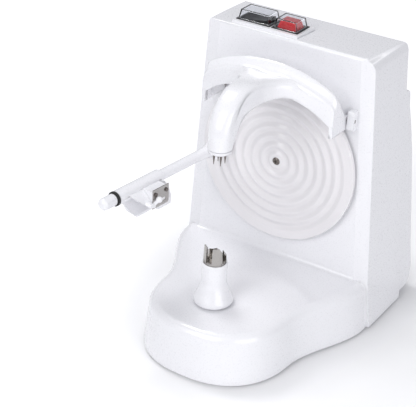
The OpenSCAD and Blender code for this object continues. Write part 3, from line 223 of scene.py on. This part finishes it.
# A moulding takes its shape from the frame's own piece, with its flat faces joined and its
# sharp, long edges rounded by so many millimetres, apart from those in a band of heights.
def moulded_from(node, name, edge, unrounded=None):
    flat = radians(0.6)
    sharp = radians(32)
    shortest = 3.2 * edge * MM
    piece = nodes[node].copy()
    piece.data = nodes[node].data.copy()
    piece.name = name
    piece.parent = None
    for word in list(piece.keys()):
        del piece[word]
    bpy.context.scene.collection.objects.link(piece)
    piece.hide_render = False
    piece.hide_viewport = False
    outward(piece)
    bpy.ops.object.mode_set(mode="EDIT")
    bpy.ops.mesh.select_all(action="SELECT")
    bpy.ops.mesh.dissolve_limited(angle_limit=flat)
    bpy.ops.object.mode_set(mode="OBJECT")
    if edge:
        bpy.ops.object.mode_set(mode="EDIT")
        bpy.ops.mesh.select_mode(type="EDGE")
        bpy.ops.mesh.select_all(action="DESELECT")
        form = bmesh.from_edit_mesh(piece.data)
        for line in form.edges:
            if len(line.link_faces) == 2 and line.calc_length() > shortest:
                line.select_set(line.calc_face_angle() > sharp)
                if unrounded and any(unrounded[0] < v.co.z / MM < unrounded[1] for v in line.verts):
                    line.select_set(False)
        bmesh.update_edit_mesh(piece.data)
        bpy.ops.transform.edge_bevelweight(value=1)
        bpy.ops.object.mode_set(mode="OBJECT")
        applied(piece, "BEVEL", width=edge * MM, segments=3, limit_method="WEIGHT",
                use_clamp_overlap=True, miter_outer="MITER_ARC")
    return piece


def finished(piece, body, slot, finish, *replaced, smooth=34):
    only(piece)
    bpy.ops.object.shade_smooth_by_angle(angle=radians(smooth))
    applied(piece, "WEIGHTED_NORMAL", keep_sharp=True, weight=60)
    piece.data.materials.clear()
    piece.data.materials.append(finish)
    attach(piece, body)
    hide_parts(*replaced)


def group_of(name):
    made = bpy.data.node_groups.new(name, "ShaderNodeTree")
    for word in ("Shade", "Haze", "Height"):
        made.interface.new_socket(name=word, in_out="OUTPUT", socket_type="NodeSocketFloat")
    out = made.nodes.new("NodeGroupOutput")
    place = made.nodes.new("ShaderNodeTexCoord")
    return made, out, place


def noise_in(tree, place, scale, detail, stretch=(1, 1, 1)):
    mapping = tree.nodes.new("ShaderNodeMapping")
    mapping.inputs["Scale"].default_value = stretch
    tree.links.new(place.outputs["Object"], mapping.inputs["Vector"])
    noise = tree.nodes.new("ShaderNodeTexNoise")
    noise.inputs["Scale"].default_value = scale
    noise.inputs["Detail"].default_value = detail
    tree.links.new(mapping.outputs[0], noise.inputs["Vector"])
    return noise.outputs["Fac"]


# Moulded plastic: slow sink marks over the ribs, and a fine orange-peel skin that hazes the gloss
sink_depth = 3.0
moulded_skin, skin_out, skin_place = group_of("moulded skin")
sink_marks = noise_in(moulded_skin, skin_place, 9, 0)
orange_peel = noise_in(moulded_skin, skin_place, 950, 3)
skin_height = moulded_skin.nodes.new("ShaderNodeMath")
skin_height.operation = "MULTIPLY_ADD"
skin_height.inputs[1].default_value = sink_depth
moulded_skin.links.new(sink_marks, skin_height.inputs[0])
moulded_skin.links.new(orange_peel, skin_height.inputs[2])
moulded_skin.links.new(orange_peel, skin_out.inputs["Shade"])
moulded_skin.links.new(orange_peel, skin_out.inputs["Haze"])
moulded_skin.links.new(skin_height.outputs[0], skin_out.inputs["Height"])


# A finish goes from its dark to its light colour and from its glossy to its hazy roughness,
# as its marks say. The relief is the marks' height in metres.
def surfaced(name, effect, light, dark, rough, relief, metallic=0.0, **constants):
    made = bpy.data.materials.new(name)
    made.use_nodes = True
    tree = made.node_tree
    shader = tree.nodes["Principled BSDF"]
    marks = tree.nodes.new("ShaderNodeGroup")
    marks.node_tree = effect
    blend = tree.nodes.new("ShaderNodeMix")
    blend.data_type = "RGBA"
    blend.inputs["A"].default_value = dark
    blend.inputs["B"].default_value = light
    gloss = tree.nodes.new("ShaderNodeMapRange")
    gloss.inputs["From Min"].default_value = 0.3
    gloss.inputs["From Max"].default_value = 0.7
    gloss.inputs["To Min"].default_value = rough[0]
    gloss.inputs["To Max"].default_value = rough[1]
    raised = tree.nodes.new("ShaderNodeBump")
    raised.inputs["Strength"].default_value = 1.0
    raised.inputs["Distance"].default_value = relief
    tree.links.new(marks.outputs["Shade"], blend.inputs["Factor"])
    tree.links.new(blend.outputs["Result"], shader.inputs["Base Color"])
    tree.links.new(marks.outputs["Haze"], gloss.inputs["Value"])
    tree.links.new(gloss.outputs["Result"], shader.inputs["Roughness"])
    tree.links.new(marks.outputs["Height"], raised.inputs["Height"])
    tree.links.new(raised.outputs["Normal"], shader.inputs["Normal"])
    shader.inputs["Metallic"].default_value = metallic
    for word, value in constants.items():
        shader.inputs[word.replace("_", " ")].default_value = value
    return made


gloss_white = surfaced("glossy white plastic", moulded_skin, shell_white, shell_shade, (0.27, 0.285),
                       0.0000012, Coat_Weight=0.7, Coat_Roughness=0.07, IOR=1.5)
housing = moulded_from("housing", "housing_shell", shell_edge, unrounded=deck_blend)

# Each front strip is set apart from the wall by a crease that leans in with the tower's side
lean = (deck_half - top_half) / (top_z - deck_z)
only(housing)
bpy.ops.object.mode_set(mode="EDIT")
bpy.ops.mesh.select_mode(type="EDGE")
bpy.ops.mesh.select_all(action="DESELECT")
form = bmesh.from_edit_mesh(housing.data)
for line in form.edges:
    beside = [abs(v.co.x) / MM - (deck_half - strip_w - (v.co.z / MM - deck_z) * lean) for v in line.verts]
    in_front = all(v.co.y < face_y + strip_back * MM and v.co.z > deck_z * MM for v in line.verts)
    line.select_set(max(abs(gap) for gap in beside) < crease_slack and in_front)
bmesh.update_edit_mesh(housing.data)
bpy.ops.mesh.mark_sharp()
bpy.ops.object.mode_set(mode="OBJECT")
finished(housing, "machine", "white_plastic", gloss_white, "housing")

# The rear cover. A second, bulging shell of the same white plastic, moulded with a row of vent
# slots, and screwed at its corners over the opening in the housing's back.
rear = moulded_from("rear_cover", "rear_shell", 0.5)
finished(rear, "machine", "white_plastic", gloss_white, "rear_cover")

# The switch panel's frame. A low white rim with leaning sides, moulded in the same plastic and
# set into the tower's top, where it holds the two switches.
panel = moulded_from("switch_bezel", "switch_panel", 0.4)
finished(panel, "machine", "white_plastic", gloss_white, "switch_bezel")

# The power rocker. A paddle of satin black plastic that tilts on a pivot in a black body. Both
# are moulded, and the body is clipped into the panel.
satin_black = surfaced("satin black plastic", moulded_skin, (0.012, 0.012, 0.013, 1),
                       (0.007, 0.007, 0.008, 1), (0.3, 0.42), 0.000006, IOR=1.4)
power_body = moulded_from("power_switch_body", "power_body", 0.25)
finished(power_body, "machine", "black_plastic", satin_black, "power_switch_body")
paddle = moulded_from("power_rocker", "power_paddle", 0.5)
finished(paddle, "rocker", "black_plastic", satin_black, "power_rocker")

# The start button. A glossy red plastic cap that is pressed down in a black body of its own,
# clipped into the panel beside the power switch.
gloss_red = surfaced("glossy red plastic", moulded_skin, (0.62, 0.012, 0.02, 1), (0.5, 0.008, 0.014, 1),
                     (0.2, 0.3), 0.000004, Coat_Weight=0.4, Coat_Roughness=0.08)
start_body = moulded_from("start_button_body", "start_body", 0.25)
finished(start_body, "machine", "black_plastic", satin_black, "start_button_body")
red_cap = moulded_from("start_button", "red_button", 0.6)
finished(red_cap, "button", "red_plastic", gloss_red, "start_button")

# The two splash caps. Thin covers of clear plastic, each moulded in one piece, that stand on
# the switch bodies and keep juice out of them.
clear = bpy.data.materials.new("clear cap plastic")
clear.use_nodes = True
clear_tree = clear.node_tree
clear_shader = clear_tree.nodes["Principled BSDF"]
clear_shader.inputs["Base Color"].default_value = (0.97, 0.98, 1.0, 1)
clear_shader.inputs["Transmission Weight"].default_value = 1.0
clear_shader.inputs["IOR"].default_value = 1.24
cap_marks = clear_tree.nodes.new("ShaderNodeGroup")
cap_marks.node_tree = moulded_skin
cap_gloss = clear_tree.nodes.new("ShaderNodeMapRange")
cap_gloss.inputs["To Min"].default_value = 0.0
cap_gloss.inputs["To Max"].default_value = 0.05
clear_tree.links.new(cap_marks.outputs["Haze"], cap_gloss.inputs["Value"])
clear_tree.links.new(cap_gloss.outputs["Result"], clear_shader.inputs["Roughness"])
for node, name in (("power_switch_cover", "power_cap"), ("start_button_cover", "start_cap")):
    cap = moulded_from(node, name, 0.3)
    finished(cap, "machine", "clear_plastic", clear, node)

# The sweep disc. A round plate of pearl-white plastic, pressed with seven ripples and screwed
# to its shaft in the middle. Its ripples are cut a little deeper here than in the frame.
first_ripple, last_ripple = 6, 62
deepest_in_frame = 1.3
ripple_gain = 1.45
pearl = surfaced("pearl disc plastic", moulded_skin, (0.80, 0.785, 0.80, 1), (0.775, 0.755, 0.775, 1),
                 (0.2, 0.22), 0.0000012, Coat_Weight=0.8, Coat_Roughness=0.07)
disc = moulded_from("disc", "sweep_disc", 0)
for v in disc.data.vertices:
    out = sqrt(v.co.x ** 2 + (v.co.z - disc_z * MM) ** 2) / MM
    sunk = v.co.y - face_y
    if first_ripple < out < last_ripple and sunk < deepest_in_frame * MM:
        v.co.y = face_y + ripple_gain * sunk
finished(disc, "sweep_disc", "disc_plastic", pearl, "disc", smooth=40)

# The blade arm. A white plastic bar with a push-on knob at its end, hinged on a pin in a small
# bracket that is fixed to the disc near its edge.
bracket = moulded_from("blade_bracket", "arm_bracket", 0.4)
finished(bracket, "sweep_disc", "white_plastic", gloss_white, "blade_bracket")
for node, name in (("blade_arm", "blade_bar"), ("arm_knob", "bar_knob")):
    piece = moulded_from(node, name, 0.4)
    finished(piece, "blade_carrier", "white_plastic", gloss_white, node)

# The peel hood. A thin white shell with a slanting mouth, moulded on a sleeve that slides over
# the bar. A small white stop pin beside the blade sets how deep it cuts.
hood = moulded_from("peel_hood", "peel_shell", 0.35)
finished(hood, "blade_carrier", "white_plastic", gloss_white, "peel_hood")
pin = moulded_from("depth_pin", "depth_stop", 0)
finished(pin, "blade_carrier", "white_plastic", gloss_white, "depth_pin")

# The holder arm. A moulded white arch that swings on two lugs screwed to the tower, and reaches
# forward in a bent nose. A white collar at the nose's end turns with the spikes in the fruit.
arm = moulded_from("upper_arm", "holder_arch", 0)
finished(arm, "holder_arm", "white_plastic", gloss_white, "upper_arm", smooth=40)
for node, name in (("hinge_lug_left", "left_lug"), ("hinge_lug_right", "right_lug")):
    piece = moulded_from(node, name, 0.4)
    finished(piece, "machine", "white_plastic", gloss_white, node)
collar = moulded_from("tip_collar", "tip_ring", 0.2)
finished(collar, "holder_tip", "white_plastic", gloss_white, "tip_collar")

# The spindle's foot. A flare of white plastic, round like a turned piece, screwed to the shaft.
# Its neck rises in a collar about the steel cup, 5 mm higher than the frame's own.
shaft_r, neck_r, seat_r = 3.3, 9.5, 8.25
rim_round = ((1.2, 0), (0.5, 0.2), (0.1, 0.8), (0, 1.7), (0.1, 3))
flare_from, flare_h, flare_steps, flare_bend = 4, 13.5, 12, 1.45
lip_round = ((neck_r, 3.6), (9.42, 4.2), (9.2, 4.7), (8.8, 4.9), (8.4, 4.8), (seat_r, 4.4),
             (seat_r, 0.05), (shaft_r, 0))
foot_low, foot_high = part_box("spindle_foot")
axis = (foot_low + foot_high) / 2
flare_r = (foot_high.x - foot_low.x) / 2 / MM
low_z, neck_z = foot_low.z / MM, foot_high.z / MM
outline = [(shaft_r, low_z)] + [(flare_r - inward, low_z + rise) for inward, rise in rim_round]
for step in range(flare_steps + 1):
    t = step / flare_steps
    outline.append((neck_r + (flare_r - neck_r - 0.4) * (1 - t) ** flare_bend,
                    low_z + flare_from + flare_h * t))
outline += [(r, neck_z + rise) for r, rise in lip_round]
bpy.ops.object.select_all(action="DESELECT")
bpy.ops.mesh.primitive_circle_add(vertices=len(outline), location=(0, 0, 0))
foot = bpy.context.object
foot.name = "spindle_flare"
for v, (r, z) in zip(foot.data.vertices, outline):
    v.co = (axis.x + r * MM, axis.y, z * MM)
bpy.ops.object.mode_set(mode="EDIT")
bpy.ops.mesh.select_all(action="SELECT")
bpy.ops.mesh.spin(steps=96, angle=2 * pi, center=(axis.x, axis.y, 0), axis=(0, 0, 1))
bpy.ops.object.mode_set(mode="OBJECT")
outward(foot)
finished(foot, "spindle", "white_plastic", gloss_white, "spindle_foot", smooth=50)

# The fruit cup. A slotted steel tube whose teeth grip the fruit, brushed along its length and
# held on the foot's neck by the screw down its middle. It is drawn in to stand in the collar.
cup_seat_r, cup_seat_h = 8.1, 7
brushed, brush_out, brush_place = group_of("brushed metal")
strokes = noise_in(brushed, brush_place, 120, 6, (1, 1, 22))
blots = noise_in(brushed, brush_place, 45, 3)
brushed.links.new(blots, brush_out.inputs["Shade"])
brushed.links.new(strokes, brush_out.inputs["Haze"])
brushed.links.new(strokes, brush_out.inputs["Height"])
bright_steel = surfaced("bright steel", brushed, (0.56, 0.54, 0.52, 1), (0.42, 0.40, 0.38, 1),
                        (0.14, 0.3), 0.000004, metallic=1.0)
cup = moulded_from("fruit_cup", "steel_cup", 0.2)
for v in cup.data.vertices:
    reach = sqrt((v.co.x - axis.x) ** 2 + (v.co.y - axis.y) ** 2) / MM
    if v.co.z / MM < neck_z + cup_seat_h and reach > cup_seat_r:
        v.co.x = axis.x + (v.co.x - axis.x) * cup_seat_r / reach
        v.co.y = axis.y + (v.co.y - axis.y) * cup_seat_r / reach
finished(cup, "spindle", "steel", bright_steel, "fruit_cup")

# The small parts and the closed works. Screws, spikes, shafts, bushes, washer, belt, feet and
# what the shells hold keep the frame's own shapes, each in the finish of its material slot.
grained, grain_out, grain_place = group_of("rubber grain")
pores = noise_in(grained, grain_place, 1400, 2)
bloom = noise_in(grained, grain_place, 35, 4)
grained.links.new(bloom, grain_out.inputs["Shade"])
grained.links.new(bloom, grain_out.inputs["Haze"])
grained.links.new(pores, grain_out.inputs["Height"])
rubber = surfaced("black rubber", grained, (0.03, 0.03, 0.03, 1), (0.012, 0.012, 0.012, 1),
                  (0.6, 0.85), 0.00002)
acetal = surfaced("natural acetal", moulded_skin, (0.72, 0.71, 0.68, 1), (0.66, 0.65, 0.62, 1),
                  (0.35, 0.5), 0.000006)
green_board = surfaced("circuit board", grained, (0.02, 0.2, 0.07, 1), (0.01, 0.11, 0.04, 1),
                       (0.3, 0.5), 0.00001)
dark_steel = surfaced("dark plated steel", brushed, (0.26, 0.235, 0.22, 1), (0.15, 0.13, 0.12, 1),
                      (0.2, 0.42), 0.000005, metallic=1.0)
finishes = {"white_plastic": gloss_white, "disc_plastic": pearl, "black_rubber": rubber,
            "black_plastic": satin_black, "gear_plastic": acetal, "red_plastic": gloss_red,
            "clear_plastic": clear, "steel": bright_steel, "dark_steel": dark_steel,
            "board": green_board}
for part in frame["record"]["subparts"]:
    node = nodes[part["node"]]
    node.data.materials.clear()
    node.data.materials.append(finishes[part["material_slot"]])
